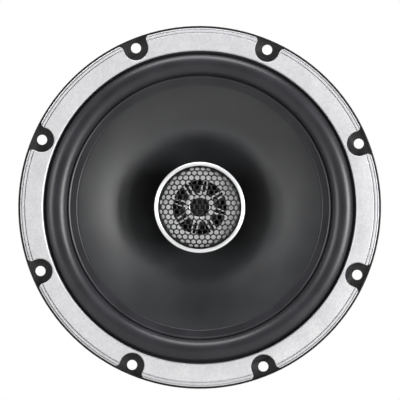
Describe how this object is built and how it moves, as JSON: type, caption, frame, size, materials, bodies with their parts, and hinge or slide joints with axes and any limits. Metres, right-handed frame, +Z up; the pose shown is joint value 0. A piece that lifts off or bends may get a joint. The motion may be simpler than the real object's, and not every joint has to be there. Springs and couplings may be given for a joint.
{
  "type": "coaxial car loudspeaker",
  "caption": "Round coaxial car speaker: silver trim ring with screw notches, rubber-edged dark cone, and a grilled dome tweeter on a central post.",
  "frame": {"origin": "centre of the barrel on the face of the panel that the speaker is screwed to", "axes": "-Y is the front, where the sound goes; +Y points into the door, along the barrel; +Z is up; +X is right as seen from the front"},
  "size_m": [0.165, 0.0766, 0.165],
  "materials": {
    "powder_coated_steel": "black powder coat on pressed steel, fine texture",
    "foam": "closed-cell foam, matte",
    "satin_silver_paint": "moulded ABS with satin metallic silver paint",
    "butyl_rubber": "moulded butyl rubber, satin black",
    "polypropylene": "mineral-filled polypropylene, fine matte grain, dark grey",
    "polyimide_film": "amber film, glossy",
    "enamelled_copper": "enamelled copper wire, wound",
    "resin_treated_cloth": "resin-treated cotton cloth, corrugated",
    "zinc_plated_steel": "clear zinc plate on mild steel",
    "ferrite": "fired ferrite ceramic, ground, dark grey",
    "bright_steel": "nickel-plated steel",
    "black_nylon": "glass-filled nylon, black",
    "brass_plate": "stamped brass blade",
    "tinned_brass": "tin-plated stamped blade",
    "copper_braid": "woven copper tinsel lead",
    "capacitor_sleeve": "shrink-sleeved aluminium can, dark blue",
    "tinned_wire": "tinned copper wire",
    "heat_shrink": "black shrink tube",
    "red_pvc": "red PVC insulation",
    "black_pvc": "black PVC insulation",
    "black_abs": "moulded ABS, black, satin",
    "polished_chrome": "polished silver plate",
    "black_painted_mesh": "perforated steel, black paint",
    "silver_plastic": "moulded ABS with silver paint",
    "coated_silk": "coated silk, black, slight sheen",
    "felt": "damping felt",
    "nickel_plate": "nickel-plated rare-earth magnet"
  },
  "bodies": {
    "basket_body": {"basket": "powder_coated_steel", "rear_gasket": "foam", "trim_ring": "satin_silver_paint", "surround": "butyl_rubber", "spider": "resin_treated_cloth", "top_plate": "zinc_plated_steel", "ferrite_magnet": "ferrite", "yoke": "zinc_plated_steel", "basket_rivets": "bright_steel", "terminal_block": "black_nylon", "terminal_blade_positive": "brass_plate", "terminal_blade_negative": "tinned_brass", "terminal_rivets": "bright_steel", "tinsel_lead_positive": "copper_braid", "tinsel_lead_negative": "copper_braid", "crossover_capacitor": "capacitor_sleeve", "capacitor_leads": "tinned_wire", "joint_sleeve": "heat_shrink", "tweeter_wire_positive": "red_pvc", "tweeter_wire_negative": "black_pvc", "tweeter_post": "black_abs", "post_washer": "bright_steel", "post_nut": "bright_steel", "tweeter_housing": "black_abs", "tweeter_bezel": "polished_chrome", "tweeter_grille": "black_painted_mesh", "phase_plate": "silver_plastic", "tweeter_dome_surround": "coated_silk", "tweeter_felt": "felt", "tweeter_pole_plate": "zinc_plated_steel", "tweeter_magnet": "nickel_plate", "tweeter_pot": "zinc_plated_steel"},
    "cone_body": {"cone": "polypropylene", "voice_coil_former": "polyimide_film", "voice_coil_winding": "enamelled_copper"},
    "dome_body": {"tweeter_dome": "coated_silk", "tweeter_coil_former": "polyimide_film", "tweeter_coil_winding": "enamelled_copper"}
  },
  "joints": [
    {"name": "cone_travel", "type": "slide", "parent": "basket_body", "child": "cone_body", "axis": [0, -1, 0], "range_m": [-0.005, 0.005], "stiffness_N_per_m": 2100, "deforming": ["surround", "spider", "tinsel_lead_positive", "tinsel_lead_negative"]},
    {"name": "dome_travel", "type": "slide", "parent": "basket_body", "child": "dome_body", "axis": [0, -1, 0], "range_m": [-0.0004, 0.0004], "stiffness_N_per_m": 300, "deforming": ["tweeter_dome_surround"]}
  ]
}
